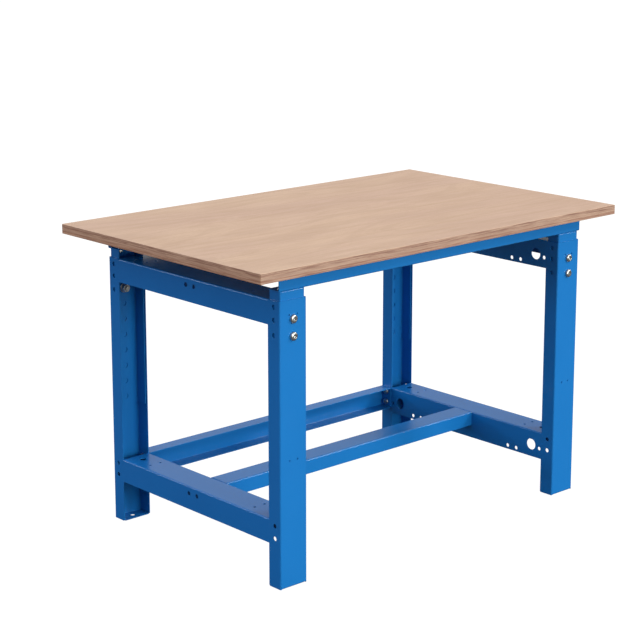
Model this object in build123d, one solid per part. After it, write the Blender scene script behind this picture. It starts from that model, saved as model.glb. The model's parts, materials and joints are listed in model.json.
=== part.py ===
from build123d import *
import os

# Height-adjustable steel workbench with a multiplex worktop, in millimetres.
# +Z is up, +X runs along the bench, -Y is the front. The origin is on the floor
# under the middle of the worktop. The bench stands at its lowest height.

os.makedirs("parts", exist_ok=True)

# --- Driving dimensions ---------------------------------------------------------------

BENCH_HEIGHT = 760
TOP_LENGTH = 1200
TOP_DEPTH = 750
TOP_THICKNESS = 24
TOP_EASED_EDGE = 1.2

FRAME_LENGTH = 1020          # over the outer faces of the legs
FRAME_DEPTH = 640
FRAME_FORWARD = 12           # the frame stands this far in front of the worktop's middle

SHEET = 2.0                  # all folded parts are 2 mm steel
BEND = 3.5                   # outside radius of every fold
CORNER = 4.0                 # rounding of the flanges' free corners
SMALL_CORNER = 1.0           # the same at an outer leg's top, where the side rail meets it
TAB_SLIT = 0.3               # cut beside a folded end tab, in from the web's straight width
TAB_RELIEF = 6.0             # depth of the slots beside an end tab

LEG_WIDTH = 80
LEG_DEPTH = 40
OUTER_LEG_HEIGHT = 676
INNER_LEG_WIDTH = 73
INNER_LEG_DEPTH = 35
INNER_LEG_FOOT = 290         # height of the inner leg's lower end, at the lowest setting
SLIDE_GAP = 0.3              # between the webs of the inner and outer leg

BEAM_HEIGHT = 38
BEAM_DEPTH = 40
BEAM_LENGTH = 1022
BEAM_CORNER = 8.0

RAIL_OUTER_WALL = 58         # side rail: height of the wall on the outside of the bench
RAIL_INNER_WALL = 72         # side rail: height of the wall towards the middle
LOWER_RAIL_TOP = 162
MIDDLE_RAIL_WIDTH = 62
MIDDLE_RAIL_HEIGHT = 37
BACK_RAIL_HEIGHT = 58

# Height adjustment: a row of holes in each inner leg, two bolts through the outer leg.
HOLE_PITCH = 40
HOLE_COUNT = 9
UPPER_BOLT_HEIGHT = 632
BOLTS_PER_LEG = 2

# Hole diameters.
HEIGHT_HOLE = 13             # M12 clearance
RAIL_HOLE = 11               # M10 clearance
BEAM_HOLE = 9                # M8 clearance
SCREW_HOLE = 6.5
FLOOR_HOLE = 12
GUIDE_HOLE = 4.5
SHELF_HOLE = 7
DRAIN_HOLE = 17
CABLE_HOLE = 30
BRACKET_HOLE = 10

# Fasteners: thread diameter, head or nut size across, head or nut height.
M12 = dict(thread=12, head=21, head_height=6.6, key=8, nut=18, nut_height=10.4)
M10 = dict(thread=10, head=17.5, head_height=5.5, key=6, nut=16, nut_height=8.2)
M8 = dict(thread=8, head=14, head_height=4.4, key=5, nut=13, nut_height=6.6)
M12_WASHER = dict(outer=24, inner=13, thickness=2.5)
THREAD_GAP = 0.1             # between a bolt's shank and its nut, on the diameter
TOP_SCREW = dict(thread=5, head=12, head_height=3.5, key=4)

# Worked-out positions, in the frame's own coordinates: its middle is at x = y = 0.
FACE = FRAME_DEPTH / 2                       # outer face of the front legs, as a distance
LEG_X = (FRAME_LENGTH - LEG_WIDTH) / 2
INNER_SPAN = FRAME_LENGTH - 2 * LEG_WIDTH    # clear length between left and right legs
RAIL_LENGTH = FRAME_DEPTH - 2 * LEG_DEPTH
UPPER_RAIL_TOP = OUTER_LEG_HEIGHT
BEAM_TOP = BENCH_HEIGHT - TOP_THICKNESS
BEAM_BOTTOM = BEAM_TOP - BEAM_HEIGHT
LEG_HOLE_DEPTH = LEG_DEPTH / 2               # flange holes sit mid-way along the flange
BOLT_HEIGHTS = [UPPER_BOLT_HEIGHT - HOLE_PITCH * row for row in range(BOLTS_PER_LEG)]
BACK_RAIL_BOLTS = [LOWER_RAIL_TOP - drop for drop in (13, 43)]
LEG_SIDE_HOLES = [UPPER_RAIL_TOP - drop for drop in (15, 45, 80)] + BACK_RAIL_BOLTS
GUIDE_HOLE_HEIGHTS = (642, 303)
GUIDE_HOLE_SPREAD = 12
MIDDLE_BOLT_SPREAD = 15
MIDDLE_BOLT_DROP = 18
BEAM_BOLT_SPREAD = 20
BEAM_BOLT_Y = FACE - 20
TOP_SCREW_XS = (-400, -135, 135, 400)
TOP_SCREW_BITE = 16

FRAME = Pos(0, -FRAME_FORWARD, 0)
HALF_TURN = Rot(0, 0, 180)
CORNERS = {
    "front_left": (-1, -1),
    "front_right": (1, -1),
    "back_left": (-1, 1),
    "back_right": (1, 1),
}


# --- Helpers ------------------------------------------------------------------------


def rod(diameter, length, axis, centre):
    """A round cutter or shank along X, Y or Z about its centre."""
    turn = {"X": (0, 90, 0), "Y": (90, 0, 0), "Z": (0, 0, 0)}[axis]
    return Location(centre, turn) * Cylinder(diameter / 2, length)


def aimed(part, point, direction):
    """Stand a part made along +Z at a point, with its +Z in the given direction."""
    return Plane(origin=point, z_dir=direction).location * part


def save(part, name):
    """Write one sub-part, moved from the frame's coordinates to the bench's."""
    export_step(FRAME * part, f"parts/{name}.step")


def save_group(parts, name):
    """Write separate identical pieces into one sub-part file."""
    export_step(Compound(children=[FRAME * part for part in parts]), f"parts/{name}.step")


# --- Folded steel ---------------------------------------------------------------------


def channel(width, left, right, length, start_corner=CORNER, end_corner=CORNER):
    """A folded channel along +Z. Its web's outer face is y = 0 and its flanges point to +Y.

    The flanges' free corners are rounded at the start, z = 0, and at the end.
    """
    depth = max(left, right)
    outer = Pos(0, depth / 2) * Rectangle(width, depth)
    outer = fillet(outer.vertices().sort_by(Axis.Y)[:2], BEND)
    hollow = Pos(0, SHEET + depth / 2) * Rectangle(width - 2 * SHEET, depth)
    hollow = fillet(hollow.vertices().sort_by(Axis.Y)[:2], BEND - SHEET)
    profile = outer - hollow
    for side, flange in ((-1, left), (1, right)):
        if flange < depth:
            spare = depth - flange
            profile -= Pos(side * width / 2, flange + spare / 2) * Rectangle(width / 2, spare)
    body = extrude(profile, length)
    for height, corner in ((0, start_corner), (length, end_corner)):
        if corner:
            ends = body.edges().filter_by(Axis.X).filter_by_position(Axis.Z, height, height)
            body = fillet([edge for edge in ends if edge.length < 1.1 * SHEET], corner)
    return body


def end_tab(width, depth):
    """A tab folded from the end of a channel's web at z = 0, to close the end towards +Y."""
    outer = Pos(depth / 2, TAB_RELIEF / 2) * Rectangle(depth, TAB_RELIEF)
    outer = fillet(outer.vertices().sort_by(lambda v: v.X + v.Y)[:1], BEND)
    hollow = Pos(SHEET + depth / 2, SHEET + TAB_RELIEF / 2) * Rectangle(depth, TAB_RELIEF)
    hollow = fillet(hollow.vertices().sort_by(lambda v: v.X + v.Y)[:1], BEND - SHEET)
    tab_width = width - 2 * BEND - 2 * TAB_SLIT
    return extrude(Plane.YZ * (outer - hollow), tab_width / 2, both=True)


def with_tabs(body, width, depth, length, start=False, end=False):
    """Fold an end tab into a channel at its start, its end or both."""
    slot = Pos(0, SHEET / 2, 0) * Box(width - 2 * BEND, 2 * SHEET, 2 * TAB_RELIEF)
    places = []
    if start:
        places.append(Pos(0, 0, 0))
    if end:
        places.append(Pos(0, 0, length) * Rot(0, 180, 0))
    for place in places:
        body = body - place * slot + place * end_tab(width, depth)
    return body


def outer_leg():
    """Outer leg with a folded foot, open towards the bench's inside. Its web faces -Y."""
    leg = channel(LEG_WIDTH, LEG_DEPTH, LEG_DEPTH, OUTER_LEG_HEIGHT, end_corner=SMALL_CORNER)
    leg = with_tabs(leg, LEG_WIDTH, LEG_DEPTH, OUTER_LEG_HEIGHT, start=True)
    for height in BOLT_HEIGHTS:
        leg -= rod(HEIGHT_HOLE, 4 * SHEET, "Y", (0, 0, height))
    for height in GUIDE_HOLE_HEIGHTS:
        for side in (-1, 1):
            leg -= rod(GUIDE_HOLE, 4 * SHEET, "Y", (side * GUIDE_HOLE_SPREAD, 0, height))
    for height in LEG_SIDE_HOLES:
        leg -= rod(RAIL_HOLE, 2 * LEG_WIDTH, "X", (0, LEG_HOLE_DEPTH, height))
    return leg - rod(FLOOR_HOLE, 4 * SHEET, "Z", (0, LEG_HOLE_DEPTH, 0))


def inner_leg():
    """Telescopic inner leg with a folded head that carries the beam. Its web faces -Y."""
    length = BEAM_BOTTOM - INNER_LEG_FOOT
    inset = SHEET + SLIDE_GAP
    leg = channel(INNER_LEG_WIDTH, INNER_LEG_DEPTH, INNER_LEG_DEPTH, length)
    leg = with_tabs(leg, INNER_LEG_WIDTH, INNER_LEG_DEPTH - SHEET, length, end=True)
    leg = Pos(0, inset, INNER_LEG_FOOT) * leg
    for row in range(HOLE_COUNT):
        height = UPPER_BOLT_HEIGHT - HOLE_PITCH * row
        leg -= rod(HEIGHT_HOLE, 4 * SHEET, "Y", (0, inset, height))
    for side in (-1, 1):
        centre = (side * BEAM_BOLT_SPREAD, FACE - BEAM_BOLT_Y, BEAM_BOTTOM)
        leg -= rod(BEAM_HOLE, 4 * SHEET, "Z", centre)
    return leg


def side_rail(top):
    """Left side rail, an inverted channel welded between two outer legs."""
    along_y = Plane(origin=(-LEG_X, -RAIL_LENGTH / 2, top), x_dir=(1, 0, 0), z_dir=(0, 1, 0))
    body = channel(LEG_WIDTH, RAIL_OUTER_WALL, RAIL_INNER_WALL, RAIL_LENGTH, 0, 0)
    rail = along_y.location * body
    inner_wall = -LEG_X + LEG_WIDTH / 2 - SHEET / 2
    for side in (-1, 1):
        pair_y = side * MIDDLE_BOLT_SPREAD
        rail -= rod(RAIL_HOLE, 2 * LEG_WIDTH, "X", (-LEG_X, pair_y, top - MIDDLE_BOLT_DROP))
        rail -= rod(CABLE_HOLE, 4 * SHEET, "X", (inner_wall, side * 245, top - 39))
        for hole_y, drop in ((273, 45), (193, 62), (163, 62)):
            centre = (inner_wall, side * hole_y, top - drop)
            rail -= rod(BRACKET_HOLE, 4 * SHEET, "X", centre)
        rail -= rod(DRAIN_HOLE, 4 * SHEET, "Z", (-LEG_X, side * 250, top))
        for offset in (-15, 15):
            rail -= rod(SHELF_HOLE, 4 * SHEET, "Z", (-LEG_X + offset, side * 200, top))
    return rail


def long_channel(height, depth, length, middle, corner=CORNER, tabs=False):
    """A channel along X with its web at the front face of the legs, centred on a height."""
    body = channel(height, depth, depth, length, corner, corner)
    if tabs:
        body = with_tabs(body, height, depth - SHEET, length, start=True, end=True)
    start = Plane(origin=(-length / 2, -FACE, middle), x_dir=(0, 0, -1), z_dir=(1, 0, 0))
    return start.location * body


def front_beam():
    """Long beam under the worktop, screwed up into it and bolted down to the inner legs."""
    middle = BEAM_TOP - BEAM_HEIGHT / 2
    beam = long_channel(BEAM_HEIGHT, BEAM_DEPTH, BEAM_LENGTH, middle, BEAM_CORNER)
    for leg_x in (-LEG_X, LEG_X):
        for side in (-1, 1):
            centre = (leg_x + side * BEAM_BOLT_SPREAD, -BEAM_BOLT_Y, BEAM_BOTTOM)
            beam -= rod(BEAM_HOLE, 4 * SHEET, "Z", centre)
    for screw_x in TOP_SCREW_XS:
        beam -= rod(SCREW_HOLE, 4 * SHEET, "Z", (screw_x, -BEAM_BOLT_Y, BEAM_TOP))
    return beam


def back_rail():
    """Lower back rail between the back legs, an open channel with its web at the back."""
    middle = LOWER_RAIL_TOP - BACK_RAIL_HEIGHT / 2
    rail = HALF_TURN * long_channel(BACK_RAIL_HEIGHT, LEG_DEPTH, INNER_SPAN, middle, tabs=True)
    for height in BACK_RAIL_BOLTS:
        for end in (-1, 1):
            centre = (end * INNER_SPAN / 2, FACE - LEG_HOLE_DEPTH, height)
            rail -= rod(RAIL_HOLE, 4 * SHEET, "X", centre)
    return rail


def middle_rail():
    """Lower middle rail between the side rails, an inverted channel with end tabs."""
    height = MIDDLE_RAIL_HEIGHT
    body = channel(MIDDLE_RAIL_WIDTH, height, height, INNER_SPAN)
    body = with_tabs(body, MIDDLE_RAIL_WIDTH, height - SHEET, INNER_SPAN, start=True, end=True)
    along_x = Plane(
        origin=(-INNER_SPAN / 2, 0, LOWER_RAIL_TOP), x_dir=(0, -1, 0), z_dir=(1, 0, 0)
    )
    rail = along_x.location * body
    for end in (-1, 1):
        for side in (-1, 1):
            height = LOWER_RAIL_TOP - MIDDLE_BOLT_DROP
            centre = (end * INNER_SPAN / 2, side * MIDDLE_BOLT_SPREAD, height)
            rail -= rod(RAIL_HOLE, 4 * SHEET, "X", centre)
    return rail


# --- Worktop ----------------------------------------------------------------------------


def worktop():
    """Multiplex board with eased edges and pilot holes for the screws from below."""
    top = Pos(0, FRAME_FORWARD, BEAM_TOP + TOP_THICKNESS / 2) * Box(
        TOP_LENGTH, TOP_DEPTH, TOP_THICKNESS
    )
    top = fillet(top.edges(), TOP_EASED_EDGE)
    for screw_x in TOP_SCREW_XS:
        for side in (-1, 1):
            centre = (screw_x, side * BEAM_BOLT_Y, BEAM_TOP)
            top -= rod(TOP_SCREW["thread"] + THREAD_GAP, 2 * TOP_SCREW_BITE, "Z", centre)
    return top


# --- Fasteners --------------------------------------------------------------------------


def button_bolt(size, length):
    """Button-head bolt along -Z with its head above z = 0 and a hexagon socket."""
    head_height = size["head_height"]
    low = (Align.CENTER, Align.CENTER, Align.MIN)
    head = Cylinder(size["head"] / 2, head_height, align=low)
    head = fillet(head.edges().group_by(Axis.Z)[-1], 0.8 * head_height)
    socket = extrude(RegularPolygon(size["key"] / 2, 6, major_radius=False), head_height)
    head -= Pos(0, 0, 0.4 * head_height) * socket
    shank = Pos(0, 0, -length) * Cylinder(size["thread"] / 2, length, align=low)
    shank = chamfer(shank.edges().group_by(Axis.Z)[0], 0.12 * size["thread"])
    return head + shank


def hexagon_nut(size):
    """Hexagon nut standing on z = 0, with its corners turned off at both faces."""
    height = size["nut_height"]
    body = extrude(RegularPolygon(size["nut"] / 2, 6, major_radius=False), height)
    turned = Pos(0, 0, height / 2) * Cylinder(size["nut"] / 2 * 1.14, height)
    turned = chamfer(turned.edges().filter_by(GeomType.CIRCLE), 0.12 * height)
    bore = rod(size["thread"] + THREAD_GAP, 3 * height, "Z", (0, 0, 0))
    return (body & turned) - bore


def washer():
    """Plain washer standing on z = 0."""
    thickness = M12_WASHER["thickness"]
    low = (Align.CENTER, Align.CENTER, Align.MIN)
    ring = Cylinder(M12_WASHER["outer"] / 2, thickness, align=low)
    return ring - rod(M12_WASHER["inner"], 4 * thickness, "Z", (0, 0, 0))


def top_screw():
    """Pan-head wood screw along +Z, with its head below z = 0 and a drilled recess."""
    head_height = TOP_SCREW["head_height"]
    high = (Align.CENTER, Align.CENTER, Align.MAX)
    head = Cylinder(TOP_SCREW["head"] / 2, head_height, align=high)
    head = fillet(head.edges().group_by(Axis.Z)[0], 0.5 * head_height)
    head -= Pos(0, 0, -head_height) * Cylinder(TOP_SCREW["key"] / 2, head_height)
    low = (Align.CENTER, Align.CENTER, Align.MIN)
    length = SHEET + TOP_SCREW_BITE - 1
    shank = Cylinder(TOP_SCREW["thread"] / 2, length, align=low)
    shank = chamfer(shank.edges().group_by(Axis.Z)[-1], 0.4 * TOP_SCREW["thread"])
    return head + shank


# --- Build and write the frame ----------------------------------------------------------

save(worktop(), "tabletop")

beam = front_beam()
save(beam, "front_top_beam")
save(HALF_TURN * beam, "back_top_beam")

outer = outer_leg()
inner = inner_leg()
for corner_name, (side, end) in CORNERS.items():
    place = Pos(side * LEG_X, end * FACE, 0)
    if end > 0:
        place = place * HALF_TURN
    save(place * outer, f"outer_leg_{corner_name}")
    save(place * inner, f"inner_leg_{corner_name}")

for level, top in (("upper", UPPER_RAIL_TOP), ("lower", LOWER_RAIL_TOP)):
    rail = side_rail(top)
    save(rail, f"{level}_side_rail_left")
    save(HALF_TURN * rail, f"{level}_side_rail_right")

save(middle_rail(), "lower_middle_rail")
save(back_rail(), "lower_back_rail")

# --- Build and write the fasteners ------------------------------------------------------

# Height bolts: from the outside of each outer leg through the inner leg's web.
washer_face = FACE - 2 * SHEET - 2 * SLIDE_GAP
nut_face = washer_face - M12_WASHER["thickness"]
height_bolt_length = FACE - nut_face + M12["nut_height"] + 3
height_bolts = []
height_washers = []
height_nuts = []
for side, end in CORNERS.values():
    for height in BOLT_HEIGHTS:
        outward = (0, end, 0)
        inward = (0, -end, 0)
        x = side * LEG_X
        bolt = button_bolt(M12, height_bolt_length)
        height_bolts.append(aimed(bolt, (x, end * FACE, height), outward))
        height_washers.append(aimed(washer(), (x, end * washer_face, height), inward))
        height_nuts.append(aimed(hexagon_nut(M12), (x, end * nut_face, height), inward))
save_group(height_bolts, "height_bolts")
save_group(height_washers, "height_washers")
save_group(height_nuts, "height_nuts")

# Rail bolts: their heads bear on the rails' end tabs or inside the side rails.
rail_bolt_length = 2 * SHEET + M10["nut_height"] + 3
back_rail_bolts = []
back_rail_nuts = []
middle_rail_bolts = []
middle_rail_nuts = []
for end in (-1, 1):
    outward = (end, 0, 0)
    inward = (-end, 0, 0)
    tab_face = end * (INNER_SPAN / 2 - SHEET)
    wall_face = end * (INNER_SPAN / 2 + SHEET)
    for height in BACK_RAIL_BOLTS:
        y = FACE - LEG_HOLE_DEPTH
        bolt = button_bolt(M10, rail_bolt_length)
        back_rail_bolts.append(aimed(bolt, (tab_face, y, height), inward))
        back_rail_nuts.append(aimed(hexagon_nut(M10), (wall_face, y, height), outward))
    for y in (-MIDDLE_BOLT_SPREAD, MIDDLE_BOLT_SPREAD):
        height = LOWER_RAIL_TOP - MIDDLE_BOLT_DROP
        bolt = button_bolt(M10, rail_bolt_length)
        middle_rail_bolts.append(aimed(bolt, (wall_face, y, height), outward))
        middle_rail_nuts.append(aimed(hexagon_nut(M10), (tab_face, y, height), inward))
save_group(back_rail_bolts, "back_rail_bolts")
save_group(back_rail_nuts, "back_rail_nuts")
save_group(middle_rail_bolts, "middle_rail_bolts")
save_group(middle_rail_nuts, "middle_rail_nuts")

# Beam bolts hold the beams to the inner legs, top screws hold the worktop to the beams.
beam_bolt_length = 2 * SHEET + M8["nut_height"] + 3
beam_bolts = []
beam_nuts = []
top_screws = []
for end in (-1, 1):
    y = end * BEAM_BOLT_Y
    for leg_x in (-LEG_X, LEG_X):
        for x in (leg_x - BEAM_BOLT_SPREAD, leg_x + BEAM_BOLT_SPREAD):
            bolt = button_bolt(M8, beam_bolt_length)
            beam_bolts.append(aimed(bolt, (x, y, BEAM_BOTTOM + SHEET), (0, 0, 1)))
            beam_nuts.append(aimed(hexagon_nut(M8), (x, y, BEAM_BOTTOM - SHEET), (0, 0, -1)))
    for x in TOP_SCREW_XS:
        top_screws.append(aimed(top_screw(), (x, y, BEAM_TOP - SHEET), (0, 0, 1)))
save_group(beam_bolts, "beam_bolts")
save_group(beam_nuts, "beam_nuts")
save_group(top_screws, "tabletop_screws")
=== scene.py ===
"""The looks of a height-adjustable workbench: a multiplex worktop on a blue powder-coated frame."""

import json
import math

import bmesh
import bpy
from mathutils import Matrix, Vector


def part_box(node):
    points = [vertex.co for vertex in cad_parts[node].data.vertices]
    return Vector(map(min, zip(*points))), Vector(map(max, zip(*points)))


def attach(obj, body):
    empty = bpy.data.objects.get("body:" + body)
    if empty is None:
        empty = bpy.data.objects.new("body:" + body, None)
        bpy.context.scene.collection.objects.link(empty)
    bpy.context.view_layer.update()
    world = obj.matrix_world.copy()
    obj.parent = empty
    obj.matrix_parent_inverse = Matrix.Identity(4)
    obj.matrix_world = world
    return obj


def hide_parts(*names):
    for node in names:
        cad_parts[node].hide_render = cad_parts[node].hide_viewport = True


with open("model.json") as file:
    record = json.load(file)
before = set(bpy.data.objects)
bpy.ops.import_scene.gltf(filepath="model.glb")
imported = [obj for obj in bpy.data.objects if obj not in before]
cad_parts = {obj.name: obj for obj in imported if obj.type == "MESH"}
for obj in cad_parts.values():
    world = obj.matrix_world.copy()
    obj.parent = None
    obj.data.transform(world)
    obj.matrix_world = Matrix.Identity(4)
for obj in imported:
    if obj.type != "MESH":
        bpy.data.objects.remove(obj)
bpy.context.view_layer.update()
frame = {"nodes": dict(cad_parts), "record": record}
board_low, board_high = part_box("tabletop")

MM = 0.001
X_AXIS, Y_AXIS, Z_AXIS = range(3)
SHARP_DEGREES = 25           # edges between faces that meet at more than this stay crisp

# Worktop: an odd number of plies, whose grain turns by a quarter from one to the next.
PLY_COUNT = 11
FACE_VENEER = 1.3 * MM
ARRIS = 0.8 * MM             # rounding of the board's long edges
BOARD_CORNER = 1.6 * MM      # rounding of its four corners, seen from above
CORNER_STEPS = 4             # steps round an arris or a corner
FLAT_RIM = 0.6 * MM          # level strip inside the arris, which keeps the whole face shaded flat
STRAIGHT_END = 2.0 * MM      # straight stretch beside a corner, which does the same for the sides
GLUE_GROOVE = 0.10 * MM      # depth of the sanded-out line between two plies
GLUE_HALF_WIDTH = 0.12 * MM

# Fasteners in millimetres. Length is the shank's, and height is the head's. A tip is the
# radius at the very end and the length of its taper.
SIDES = 36                   # points round a bolt, a multiple of 12 so that hexagons fit
DOME_STEPS = 6
THREAD_ROWS = 4              # rings for each turn of a thread
M12 = dict(
    thread=12, pitch=1.75, tip=(5.0, 1.0), length=20.5,
    head=21, height=6.6, key=8, nut=18, nut_height=10.4,
)
M10 = dict(
    thread=10, pitch=1.5, tip=(4.1, 0.9), length=15.2,
    head=17.5, height=5.5, key=6, nut=16, nut_height=8.2,
)
M8 = dict(
    thread=8, pitch=1.25, tip=(3.25, 0.8), length=13.6,
    head=14, height=4.4, key=5, nut=13, nut_height=6.6,
)
WOOD_SCREW = dict(thread=5, pitch=2.2, tip=(0.3, 5.0), length=17.0, head=12, height=3.5, key=4)
WASHER = dict(outer=24, inner=13, thickness=2.5)

# Colours are linear. A tone multiplies a colour.
POWDER_BLUE = (0.009, 0.160, 0.515)
POWDER_BLUE_DEEP = (0.008, 0.150, 0.490)
# A lighter blue, for specks and for edges; on edges it is partly thinner cover and partly a painted
# highlight.
POWDER_EDGE = (0.020, 0.220, 0.590)
VENEER_LIGHT = (0.607, 0.430, 0.316)
VENEER_PINK = (0.558, 0.383, 0.298)
VENEER_DARK = (0.443, 0.288, 0.205)
LONG_PLY = (0.470, 0.330, 0.276)
LONG_PLY_DARK = (0.325, 0.208, 0.167)
END_PLY = (0.455, 0.290, 0.230)
END_PLY_DARK = (0.222, 0.118, 0.094)
# Painted light: makes the board's short sides, which face along X, lighter.
SHORT_SIDE_PAINTED_LIGHT = (1.33, 1.24, 1.06)
RED_PLY = (0.330, 0.145, 0.095)
GLUE = (0.120, 0.062, 0.045)
ZINC = (0.620, 0.625, 0.640)
ZINC_HAZE = (0.430, 0.440, 0.460)


# --- Node helpers ---------------------------------------------------------------------------


class Nodes:
    """A node tree, emptied, with short calls for the nodes used here."""

    def __init__(self, tree):
        self.tree = tree
        self.tree.nodes.clear()

    def node(self, kind, **settings):
        made = self.tree.nodes.new(kind)
        for key, value in settings.items():
            setattr(made, key, value)
        return made

    def join(self, source, target):
        self.tree.links.new(source, target)

    def feed(self, target, value):
        """Set an input to a number or colour, or link it to another node's output."""
        if isinstance(value, bpy.types.NodeSocket):
            self.join(value, target)
        elif isinstance(value, tuple) and len(value) == 3 and target.type == "RGBA":
            target.default_value = (*value, 1)
        else:
            target.default_value = value

    def math(self, operation, first, second=0.0):
        made = self.node("ShaderNodeMath", operation=operation)
        self.feed(made.inputs[0], first)
        self.feed(made.inputs[1], second)
        return made.outputs[0]

    def vector_math(self, operation, first, second):
        made = self.node("ShaderNodeVectorMath", operation=operation)
        self.feed(made.inputs[0], first)
        self.feed(made.inputs[1], second)
        return made.outputs["Value" if operation == "DOT_PRODUCT" else "Vector"]


class Shader(Nodes):
    """A material with its surface shader, its output and the place on the object."""

    def __init__(self, name):
        self.material = bpy.data.materials.new(name)
        self.material.use_nodes = True
        super().__init__(self.material.node_tree)
        self.output = self.node("ShaderNodeOutputMaterial")
        self.surface = self.node("ShaderNodeBsdfPrincipled")
        self.join(self.surface.outputs["BSDF"], self.output.inputs["Surface"])
        self.place = self.node("ShaderNodeTexCoord").outputs["Object"]

    def scaled(self, factors):
        """The place on the object, stretched along each axis."""
        return self.vector_math("MULTIPLY", self.place, factors)

    def noise(self, place, scale, detail=3.0, roughness=0.5):
        made = self.node("ShaderNodeTexNoise")
        self.feed(made.inputs["Vector"], place)
        made.inputs["Scale"].default_value = scale
        made.inputs["Detail"].default_value = detail
        made.inputs["Roughness"].default_value = roughness
        return made.outputs["Fac"]

    def range(self, value, from_low, from_high, to_low=0.0, to_high=1.0, smooth=False):
        made = self.node("ShaderNodeMapRange")
        made.interpolation_type = "SMOOTHSTEP" if smooth else "LINEAR"
        made.clamp = True
        numbers = (from_low, from_high, to_low, to_high)
        self.feed(made.inputs["Value"], value)
        for key, number in zip(("From Min", "From Max", "To Min", "To Max"), numbers):
            made.inputs[key].default_value = number
        return made.outputs["Result"]

    def mix(self, factor, first, second, blend="MIX"):
        made = self.node("ShaderNodeMix", data_type="RGBA", blend_type=blend)
        self.feed(made.inputs["Factor"], factor)
        first_colour, second_colour = [socket for socket in made.inputs if socket.type == "RGBA"]
        self.feed(first_colour, first)
        self.feed(second_colour, second)
        return next(socket for socket in made.outputs if socket.type == "RGBA")

    def split(self, vector):
        made = self.node("ShaderNodeSeparateXYZ")
        self.feed(made.inputs[0], vector)
        return made.outputs

    def bump(self, height, depth, strength, normal=None):
        made = self.node("ShaderNodeBump")
        made.inputs["Strength"].default_value = strength
        made.inputs["Distance"].default_value = depth
        self.feed(made.inputs["Height"], height)
        if normal is not None:
            self.feed(made.inputs["Normal"], normal)
        return made.outputs["Normal"]

    def bevel(self, radius):
        """The normal as it would be if every corner were rounded."""
        made = self.node("ShaderNodeBevel", samples=6)
        made.inputs["Radius"].default_value = radius
        return made.outputs["Normal"]

    def true_normal(self):
        return self.node("ShaderNodeNewGeometry").outputs["True Normal"]


# --- Materials ------------------------------------------------------------------------------
# Noise scales are in cells for each metre, so a scale of 5 makes patches of about 0.2 m.


def powder_coat():
    """Semi-gloss blue powder coat: orange peel, cloudy tone, specks, and edges painted lighter,
    partly for thinner cover and partly as a painted highlight.
    """
    s = Shader("powder_coat_blue")
    cloud = s.noise(s.place, 5.0, 3.0)
    speck = s.noise(s.place, 700.0, 2.0)
    colour = s.mix(s.range(cloud, 0.3, 0.7), POWDER_BLUE, POWDER_BLUE_DEEP)
    colour = s.mix(s.range(speck, 0.45, 0.75, 0.0, 0.08), colour, POWDER_EDGE)
    rounded = s.bevel(0.4 * MM)
    edge = s.range(s.vector_math("DOT_PRODUCT", rounded, s.true_normal()), 0.985, 0.85)
    # Edges are painted lighter: partly thinner cover, partly a painted highlight along them.
    edge_wear_and_highlight = s.math("MULTIPLY", edge, s.range(s.noise(s.place, 60.0, 4.0), 0.35, 0.7))
    colour = s.mix(s.math("MULTIPLY", edge_wear_and_highlight, 0.45), colour, POWDER_EDGE)
    peel = s.math("ADD", s.noise(s.place, 260.0, 2.0), s.math("MULTIPLY", speck, 0.35))
    rough = s.range(s.noise(s.place, 18.0, 4.0), 0.3, 0.7, 0.21, 0.26)
    s.feed(s.surface.inputs["Base Color"], colour)
    s.feed(s.surface.inputs["Roughness"], rough)
    s.surface.inputs["Specular IOR Level"].default_value = 0.35
    s.join(s.bump(peel, 0.012 * MM, 0.2, rounded), s.surface.inputs["Normal"])
    return s.material


def zinc_plate():
    """Bright zinc plate: a dull haze in patches, fine grain and a little wear on the corners."""
    s = Shader("zinc_plate")
    haze = s.noise(s.place, 260.0, 4.0)
    grain = s.noise(s.place, 1400.0, 3.0)
    rounded = s.bevel(0.2 * MM)
    edge = s.range(s.vector_math("DOT_PRODUCT", rounded, s.true_normal()), 0.99, 0.88)
    colour = s.mix(s.range(haze, 0.35, 0.7), ZINC, ZINC_HAZE)
    colour = s.mix(s.math("MULTIPLY", edge, 0.5), colour, ZINC)
    rough = s.math("ADD", s.range(grain, 0.3, 0.7, 0.23, 0.31), s.range(haze, 0.4, 0.7, 0.0, 0.08))
    s.surface.inputs["Metallic"].default_value = 1.0
    s.feed(s.surface.inputs["Base Color"], colour)
    s.feed(s.surface.inputs["Roughness"], rough)
    s.join(s.bump(grain, 0.02 * MM, 0.3, rounded), s.surface.inputs["Normal"])
    return s.material


def veneer_rings(s, count):
    """Growth rings of flat-cut veneer: contour lines of a slow swell drawn out along the grain."""
    swell = s.noise(s.scaled((1.1, 5.2, 1.0)), 1.0, 1.5)
    ripple = s.noise(s.scaled((5.0, 34.0, 1.0)), 1.0, 2.0)
    height = s.math("ADD", swell, s.math("MULTIPLY", ripple, 0.015))
    return s.range(s.math("SINE", s.math("MULTIPLY", height, count)), 0.1, 1.0)


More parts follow.
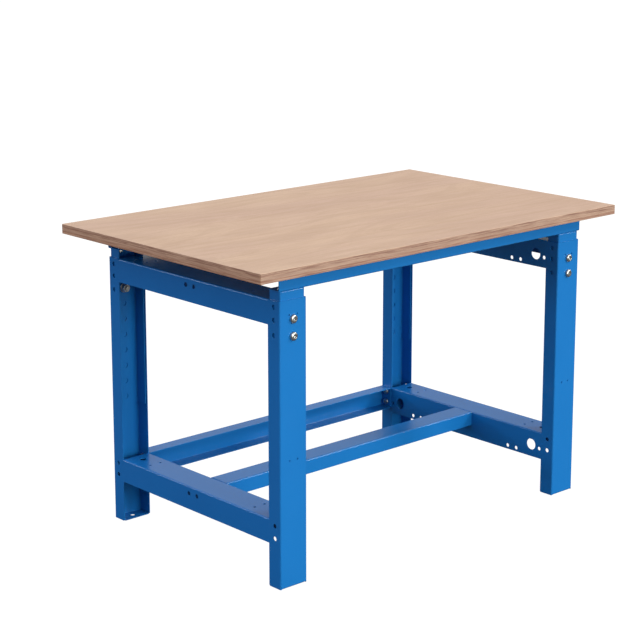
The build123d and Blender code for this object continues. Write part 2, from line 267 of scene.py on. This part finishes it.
def beech_veneer():
    """Varnished face veneer with its grain along X: rings, clouds, streaks and short flecks."""
    s = Shader("beech_veneer")
    streak = s.noise(s.scaled((7.0, 110.0, 1.0)), 1.0, 5.0, 0.6)
    band = s.noise(s.scaled((1.6, 9.0, 1.0)), 1.0, 3.0)
    cloud = s.noise(s.scaled((5.0, 12.0, 1.0)), 1.0, 4.0)
    fleck = s.range(s.noise(s.scaled((80.0, 1000.0, 1.0)), 1.0, 2.0), 0.54, 0.68)
    colour = s.mix(s.range(band, 0.35, 0.65), VENEER_LIGHT, VENEER_PINK)
    colour = s.mix(s.range(cloud, 0.38, 0.68, 0.0, 0.30), colour, VENEER_DARK)
    colour = s.mix(s.math("MULTIPLY", veneer_rings(s, 70.0), 0.26), colour, VENEER_DARK)
    colour = s.mix(s.math("MULTIPLY", veneer_rings(s, 300.0), 0.10), colour, VENEER_DARK)
    colour = s.mix(s.range(streak, 0.35, 0.75, 0.0, 0.40), colour, VENEER_DARK)
    colour = s.mix(s.math("MULTIPLY", fleck, 0.50), colour, VENEER_DARK)
    pores = s.math("ADD", streak, s.math("MULTIPLY", fleck, -0.5))
    s.feed(s.surface.inputs["Base Color"], colour)
    s.feed(s.surface.inputs["Roughness"], s.range(streak, 0.3, 0.7, 0.52, 0.64))
    s.surface.inputs["Specular IOR Level"].default_value = 0.3
    s.join(s.bump(pores, 0.05 * MM, 0.3), s.surface.inputs["Normal"])
    return s.material


def edge_finish(s, colour, relief):
    """What both kinds of ply share at the sanded edge: bands, dark dashes, glue lines, sheen, and
    painted light on the short sides.
    """
    height_mm = s.math("DIVIDE", s.math("SUBTRACT", s.split(s.place)[Z_AXIS], board_low.z), MM)
    rising = s.range(height_mm, 7.0, 10.0, smooth=True)
    pale_middle = s.math("MULTIPLY", rising, s.range(height_mm, 16.0, 12.5, smooth=True))
    dashes = s.range(s.noise(s.scaled((14.0, 14.0, 560.0)), 1.0, 5.0, 0.65), 0.44, 0.57)
    shade = s.math("ADD", 0.10, s.math("MULTIPLY", dashes, 0.85))
    shade = s.math("MULTIPLY", shade, s.range(pale_middle, 0.0, 1.0, 1.0, 0.45))
    colour = s.mix(shade, colour, END_PLY_DARK)
    red_line = s.math("MULTIPLY", s.range(height_mm, 7.4, 6.4), s.range(height_mm, 4.6, 5.6))
    red_line = s.math("ADD", red_line, s.range(height_mm, 2.4, 1.2))
    colour = s.mix(s.math("MULTIPLY", red_line, 0.5), colour, RED_PLY)
    # Painted light: the sides that face along X are made lighter because of how they face, standing
    # in for light on them.
    short_side_light_mask = s.math("ABSOLUTE", s.split(s.true_normal())[X_AXIS])
    colour = s.mix(short_side_light_mask, colour, SHORT_SIDE_PAINTED_LIGHT, "MULTIPLY")
    groove = s.range(s.vector_math("DOT_PRODUCT", s.bevel(0.3 * MM), s.true_normal()), 0.995, 0.9)
    colour = s.mix(s.math("MULTIPLY", groove, 0.2), colour, GLUE)
    s.feed(s.surface.inputs["Base Color"], colour)
    s.feed(s.surface.inputs["Roughness"], s.range(relief, 0.3, 0.7, 0.52, 0.66))
    s.surface.inputs["Specular IOR Level"].default_value = 0.25
    s.join(s.bump(relief, 0.08 * MM, 0.5), s.surface.inputs["Normal"])
    return s.material


def long_ply():
    """A ply cut along its grain: thin streaks that run level along the edge."""
    s = Shader("ply_long_grain")
    streak = s.noise(s.scaled((14.0, 14.0, 2200.0)), 1.0, 4.0, 0.6)
    patch = s.noise(s.scaled((3.0, 3.0, 200.0)), 1.0, 2.0)
    colour = s.mix(s.range(streak, 0.35, 0.7), LONG_PLY, LONG_PLY_DARK)
    colour = s.mix(s.range(patch, 0.40, 0.70, 0.0, 0.5), colour, VENEER_PINK)
    return edge_finish(s, colour, streak)


def end_ply():
    """A ply cut across its grain: dark, open pores."""
    s = Shader("ply_end_grain")
    pores = s.noise(s.scaled((900.0, 900.0, 1500.0)), 1.0, 3.0)
    patch = s.noise(s.scaled((5.0, 5.0, 200.0)), 1.0, 2.0)
    colour = s.mix(s.range(pores, 0.35, 0.65, 0.0, 0.5), END_PLY, END_PLY_DARK)
    colour = s.mix(s.range(patch, 0.40, 0.70, 0.0, 0.5), colour, LONG_PLY)
    return edge_finish(s, colour, pores)


def paint(node, material):
    """Give every face of a CAD node one material."""
    obj = frame["nodes"][node]
    if not obj.material_slots:
        obj.data.materials.append(material)
    for slot in obj.material_slots:
        slot.material = material


# --- Mesh helpers ---------------------------------------------------------------------------


def add_piece(name, bm, materials, node):
    """Turn a finished bmesh into a piece that stands for a CAD node and rides on its body."""
    bmesh.ops.recalc_face_normals(bm, faces=bm.faces)
    mesh = bpy.data.meshes.new(name)
    bm.to_mesh(mesh)
    bm.free()
    mesh.shade_smooth()
    mesh.set_sharp_from_angle(angle=math.radians(SHARP_DEGREES))
    for material in materials:
        mesh.materials.append(material)
    piece = bpy.data.objects.new(name, mesh)
    bpy.context.scene.collection.objects.link(piece)
    bodies = frame["record"]["behaviour"]["bodies"]
    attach(piece, next(body for body, nodes in bodies.items() if node in nodes))
    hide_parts(node)


def skin(bm, rings, place, loop=False):
    """Join rings of points into a skin. Its two ends are closed, or run into each other."""
    made = [[bm.verts.new(place @ Vector(point)) for point in ring] for ring in rings]
    following = made[1:] + made[:1] if loop else made[1:]
    for lower, upper in zip(made, following):
        for k, corner in enumerate(lower):
            after = (k + 1) % len(lower)
            bm.faces.new((corner, lower[after], upper[after], upper[k]))
    if not loop:
        bm.faces.new(made[0][::-1])
        bm.faces.new(made[-1])


def circle(radius, height):
    """Points round a circle."""
    turns = [2 * math.pi * k / SIDES for k in range(SIDES)]
    return [(radius * math.cos(turn), radius * math.sin(turn), height) for turn in turns]


def hexagon(half_width, height):
    """Points round a hexagon, at the same angles as a circle's, so that the two can be joined."""
    points = []
    for k in range(SIDES):
        turn = 2 * math.pi * k / SIDES
        from_flat = (turn + math.pi / 6) % (math.pi / 3) - math.pi / 6
        reach = half_width / math.cos(from_flat)
        points.append((reach * math.cos(turn), reach * math.sin(turn), height))
    return points


# --- Fasteners ------------------------------------------------------------------------------


def thread(size):
    """A shank from its tapered tip at z = -length up to z = 0, with a helical ridge round it."""
    radius, pitch, length = size["thread"] / 2, size["pitch"], size["length"]
    tip_radius, tip_length = size["tip"]
    depth = 0.55 * pitch
    rows = round(length / pitch * THREAD_ROWS)
    rings = []
    for row in range(rows + 1):
        above_tip = length * row / rows
        taper = tip_radius + (radius - tip_radius) * min(1, above_tip / tip_length)
        ring = []
        for k in range(SIDES):
            turn = k / SIDES
            ridge = 1 - abs(2 * ((above_tip / pitch - turn) % 1) - 1)
            reach = min(taper, radius - depth * (1 - ridge))
            angle = 2 * math.pi * turn
            ring.append((reach * math.cos(angle), reach * math.sin(angle), above_tip - length))
        rings.append(ring)
    return rings


def button_bolt(bm, size, place):
    """A threaded bolt or screw along -Z: domed head above z = 0 with a hexagon socket."""
    radius, height, key = size["head"] / 2, size["height"], size["key"] / 2
    foot = 0.05 * height
    rim = 0.30 * height
    crown = 1.35 * key
    rings = thread(size)
    rings += [circle(radius - foot, 0), circle(radius, foot), circle(radius, rim)]
    for step in range(1, DOME_STEPS + 1):
        turn = math.pi / 2 * step / DOME_STEPS
        across = crown + (radius - crown) * math.cos(turn)
        rings.append(circle(across, rim + (height - rim) * math.sin(turn)))
    socket_mouth, socket_floor = 0.92 * height, 0.42 * height
    drilled_edge, drilled_point = 0.40 * height, 0.30 * height
    rings += [circle(1.2 * key, height - 0.02)]
    rings += [hexagon(key, socket_mouth), hexagon(key, socket_floor)]
    rings += [circle(0.8 * key, drilled_edge), circle(0.1 * key, drilled_point)]
    skin(bm, rings, place)


def hexagon_nut(bm, size, place):
    """A nut from z = 0 up: corners chamfered at 30 degrees and a countersunk bore."""
    thread_gap = 0.05
    flat, height, bore = size["nut"] / 2, size["nut_height"], size["thread"] / 2 + thread_gap
    face, sink = 0.96 * flat, 0.6
    slope = math.tan(math.radians(30))
    lower = [(x, y, (math.hypot(x, y) - face) * slope) for x, y, z in hexagon(flat, 0)]
    upper = [(x, y, height - z) for x, y, z in lower]
    outside = [circle(face, 0), lower, upper, circle(face, height)]
    inside = [circle(bore + sink, height), circle(bore, height - sink), circle(bore, sink)]
    skin(bm, outside + inside + [circle(bore + sink, 0)], place, loop=True)


def flat_washer(bm, size, place):
    """A stamped washer from z = 0 up, with its edges rolled over."""
    outer, inner, thickness = size["outer"] / 2, size["inner"] / 2, size["thickness"]
    edge = 0.3
    outside = [circle(outer - edge, 0), circle(outer, edge), circle(outer, thickness - edge)]
    upper = [circle(outer - edge, thickness), circle(inner + edge, thickness)]
    inside = [circle(inner, thickness - edge), circle(inner, edge), circle(inner + edge, 0)]
    skin(bm, outside + upper + inside, place, loop=True)


def solids_of(node):
    """The points of each separate solid in a CAD node."""
    bm = bmesh.new()
    bm.from_mesh(frame["nodes"][node].data)
    bmesh.ops.remove_doubles(bm, verts=bm.verts, dist=0.001 * MM)
    seen = set()
    solids = []
    for start in bm.verts:
        if start in seen:
            continue
        seen.add(start)
        waiting, points = [start], []
        while waiting:
            vert = waiting.pop()
            points.append(vert.co.copy())
            for edge in vert.link_edges:
                other = edge.other_vert(vert)
                if other not in seen:
                    seen.add(other)
                    waiting.append(other)
        solids.append(points)
    bm.free()
    return solids


def seat_of(points, axis, head_height):
    """Where a fastener's bearing face sits and which way its head or upper face looks."""
    end_zone = 2 * MM
    low = Vector([min(point[i] for point in points) for i in range(3)])
    high = Vector([max(point[i] for point in points) for i in range(3)])
    seat = (low + high) / 2
    side = (axis + 1) % 3
    middle = seat[side]
    at_low = [point for point in points if point[axis] < low[axis] + end_zone]
    at_high = [point for point in points if point[axis] > high[axis] - end_zone]
    reach_low = max(abs(point[side] - middle) for point in at_low)
    reach_high = max(abs(point[side] - middle) for point in at_high)
    up = reach_high >= reach_low
    direction = Vector((0, 0, 0))
    direction[axis] = 1 if up else -1
    top = high[axis] if up else low[axis]
    seat[axis] = top - direction[axis] * head_height * MM
    return seat, direction


def fastener_places(node, axis, head_height):
    """A frame for each fastener of a CAD node, in millimetres, each turned by its own amount."""
    golden_turn = math.radians(137.5)
    places = []
    for count, points in enumerate(solids_of(node)):
        seat, direction = seat_of(points, axis, head_height)
        turned = direction.to_track_quat("Z", "Y").to_matrix().to_4x4()
        turned = turned @ Matrix.Rotation(count * golden_turn, 4, "Z")
        places.append(Matrix.Translation(seat) @ turned @ Matrix.Scale(MM, 4))
    return places


def make_bolts(node, axis, size, zinc):
    """Threaded bolts or screws in place of a CAD node's plain ones."""
    bm = bmesh.new()
    for place in fastener_places(node, axis, size["height"]):
        button_bolt(bm, size, place)
    add_piece(node + "_threaded", bm, [zinc], node)


def make_nuts(node, axis, size, zinc):
    """Chamfered nuts in place of a CAD node's plain ones."""
    bm = bmesh.new()
    for place in fastener_places(node, axis, size["nut_height"]):
        hexagon_nut(bm, size, place)
    add_piece(node + "_chamfered", bm, [zinc], node)


def make_washers(node, axis, size, zinc):
    """Washers with rolled edges in place of a CAD node's plain ones."""
    bm = bmesh.new()
    for place in fastener_places(node, axis, size["thickness"]):
        flat_washer(bm, size, place)
    add_piece(node + "_rolled", bm, [zinc], node)


# --- Worktop --------------------------------------------------------------------------------


def board_profile(thickness):
    """The edge from its lower to its upper arris, as steps of inset, height and ply."""
    arc = [math.pi / 2 * step / CORNER_STEPS for step in range(CORNER_STEPS + 1)]
    profile = [(ARRIS + FLAT_RIM, 0, 0)]
    profile += [(ARRIS * (1 - math.sin(turn)), ARRIS * (1 - math.cos(turn)), 0) for turn in arc]
    inner = (thickness - 2 * FACE_VENEER) / (PLY_COUNT - 2)
    for ply in range(1, PLY_COUNT):
        seam = FACE_VENEER + inner * (ply - 1)
        profile.append((0, seam - GLUE_HALF_WIDTH, ply - 1))
        profile.append((GLUE_GROOVE, seam, ply - 1))
        profile.append((0, seam + GLUE_HALF_WIDTH, ply))
    last = PLY_COUNT - 1
    for turn in reversed(arc):
        sunk = ARRIS * (1 - math.cos(turn))
        profile.append((ARRIS * (1 - math.sin(turn)), thickness - sunk, last))
    profile.append((ARRIS + FLAT_RIM, thickness, last))
    return profile


def board_outline(low, high, inset, height):
    """A rectangle with rounded corners, set in from the board's box."""
    centre = (low + high) / 2
    half = (high - low) / 2
    radius = BOARD_CORNER - inset
    steps = [(step, 0) for step in range(CORNER_STEPS + 1)]
    steps = [(0, -STRAIGHT_END)] + steps + [(CORNER_STEPS, STRAIGHT_END)]
    points = []
    for quarter, (sx, sy) in enumerate(((1, 1), (-1, 1), (-1, -1), (1, -1))):
        for step, along in steps:
            turn = math.pi / 2 * (quarter + step / CORNER_STEPS)
            cos, sin = math.cos(turn), math.sin(turn)
            x = centre.x + sx * (half.x - BOARD_CORNER) + radius * cos - along * sin
            y = centre.y + sy * (half.y - BOARD_CORNER) + radius * sin + along * cos
            points.append((x, y, low.z + height))
    return points


def multiplex_worktop(low, high, materials):
    """A glued board: veneered faces, eased arrises, and plies that alternate along its edges."""
    face, along, across = range(3)
    bm = bmesh.new()
    profile = board_profile(high.z - low.z)
    rings = [board_outline(low, high, inset, height) for inset, height, ply in profile]
    skin(bm, rings, Matrix.Identity(4))
    bm.normal_update()
    for polygon in bm.faces:
        middle = polygon.calc_center_median().z - low.z
        if abs(polygon.normal.z) > 0.5 and min(middle, high.z - low.z - middle) < ARRIS:
            polygon.material_index = face
            continue
        ply = max(ply for inset, height, ply in profile if height <= middle)
        faces_end = abs(polygon.normal.x) > abs(polygon.normal.y)
        polygon.material_index = along if (ply % 2 == 0) != faces_end else across
    add_piece("multiplex_worktop", bm, materials, "tabletop")


# --- The bench ------------------------------------------------------------------------------

multiplex_worktop(board_low, board_high, [beech_veneer(), long_ply(), end_ply()])

zinc = zinc_plate()
make_bolts("height_bolts", Y_AXIS, M12, zinc)
make_washers("height_washers", Y_AXIS, WASHER, zinc)
make_nuts("height_nuts", Y_AXIS, M12, zinc)
for rail in ("back_rail", "middle_rail"):
    make_bolts(rail + "_bolts", X_AXIS, M10, zinc)
    make_nuts(rail + "_nuts", X_AXIS, M10, zinc)
make_bolts("beam_bolts", Z_AXIS, M8, zinc)
make_nuts("beam_nuts", Z_AXIS, M8, zinc)
make_bolts("tabletop_screws", Z_AXIS, WOOD_SCREW, zinc)

coat = powder_coat()
for node in frame["nodes"]:
    if "leg" in node or node.endswith(("beam", "rail", "rail_left", "rail_right")):
        paint(node, coat)


# --- Stage: floor, lights and camera --------------------------------------------------------


def make_floor():
    """A plain floor, white to the camera but dim in the light that it throws back at the bench."""
    mesh = bpy.data.meshes.new("studio_floor")
    half = 60.0
    corners = [(-half, -half, 0), (half, -half, 0), (half, half, 0), (-half, half, 0)]
    mesh.from_pydata(corners, [], [(0, 1, 2, 3)])
    floor = bpy.data.objects.new("studio_floor", mesh)
    floor.location.z = -0.5 * MM
    bpy.context.scene.collection.objects.link(floor)
    s = Shader("studio_floor")
    s.surface.inputs["Base Color"].default_value = (0.09, 0.09, 0.09, 1)
    s.surface.inputs["Roughness"].default_value = 0.9
    s.surface.inputs["Specular IOR Level"].default_value = 0.0
    glow = s.node("ShaderNodeEmission")
    glow.inputs["Color"].default_value = (0.98, 0.98, 0.98, 1)
    s.join(s.node("ShaderNodeLightPath").outputs["Is Camera Ray"], glow.inputs["Strength"])
    both = s.node("ShaderNodeAddShader")
    s.join(s.surface.outputs["BSDF"], both.inputs[0])
    s.join(glow.outputs["Emission"], both.inputs[1])
    s.join(both.outputs["Shader"], s.output.inputs["Surface"])
    mesh.materials.append(s.material)


def area_light(name, place, size, power, colour, glossy=True):
    """A softbox aimed at the bench. One that isn't glossy leaves no reflection of itself."""
    light = bpy.data.lights.new(name, "AREA")
    light.shape = "RECTANGLE"
    light.size, light.size_y = size
    light.energy = power
    light.color = colour
    lamp = bpy.data.objects.new(name, light)
    lamp.location = place
    lamp.rotation_euler = (BENCH_MIDDLE - Vector(place)).to_track_quat("-Z", "Y").to_euler()
    lamp.visible_glossy = glossy
    bpy.context.scene.collection.objects.link(lamp)


def sky_lobe(n, place, direction, sharpness, strength):
    """A soft glow on the dome, brightest towards one direction."""
    facing = n.vector_math("DOT_PRODUCT", place, Vector(direction).normalized())
    glow = n.math("POWER", n.math("MAXIMUM", facing, 0.0), sharpness)
    return n.math("MULTIPLY", glow, strength)


def make_world(ambient, lobes):
    """White to the camera, and a soft dome with brighter parts for lighting the bench."""
    world = bpy.data.worlds.new("studio")
    world.use_nodes = True
    n = Nodes(world.node_tree)
    place = n.node("ShaderNodeTexCoord").outputs["Generated"]
    strength = ambient
    for lobe in lobes:
        strength = n.math("ADD", sky_lobe(n, place, *lobe), strength)
    dome = n.node("ShaderNodeBackground")
    seen = n.node("ShaderNodeBackground")
    for background in (dome, seen):
        n.feed(background.inputs["Color"], (1.0, 1.0, 1.0))
    n.feed(dome.inputs["Strength"], strength)
    choose = n.node("ShaderNodeMixShader")
    n.join(n.node("ShaderNodeLightPath").outputs["Is Camera Ray"], choose.inputs[0])
    n.join(dome.outputs[0], choose.inputs[1])
    n.join(seen.outputs[0], choose.inputs[2])
    n.join(choose.outputs[0], n.node("ShaderNodeOutputWorld").inputs["Surface"])
    bpy.context.scene.world = world


def make_camera(place, yaw, pitch, lens, shift_y):
    """A camera turned by yaw from +Y towards +X and tilted down by pitch, both in degrees."""
    camera = bpy.data.cameras.new("camera")
    camera.sensor_width = 36
    camera.lens = lens
    camera.shift_y = shift_y
    body = bpy.data.objects.new("camera", camera)
    body.location = place
    body.rotation_euler = (math.radians(90 - pitch), 0, math.radians(-yaw))
    bpy.context.scene.collection.objects.link(body)
    bpy.context.scene.camera = body


BENCH_MIDDLE = Vector((0, 0, 0.4))
WARM = (1.0, 1.0, 0.86)
COOL = (0.90, 0.93, 1.0)

make_floor()
make_world(ambient=0.13, lobes=(((0, 1, 0.3), 2, 0.50), ((0, 0, 1), 1.5, 1.10)))
area_light("front_softbox", (1.0, -12.0, 2.0), (9.8, 4.5), 880, WARM)
area_light("high_softbox", (0.0, -14.4, 4.8), (4.4, 3.0), 700, WARM)
area_light("key_softbox", (10.4, -9.3, 7.9), (3.0, 3.0), 960, WARM)
area_light("left_softbox", (-10.5, 1.5, 2.8), (7.5, 4.8), 215, COOL, glossy=False)
area_light("back_left_softbox", (-6.6, 7.1, 2.3), (1.6, 1.2), 108, COOL)
make_camera((-3.0303, -3.2433, 1.618), yaw=42.245, pitch=11.894, lens=100.9, shift_y=-0.12)
bpy.context.scene.view_settings.view_transform = "Standard"
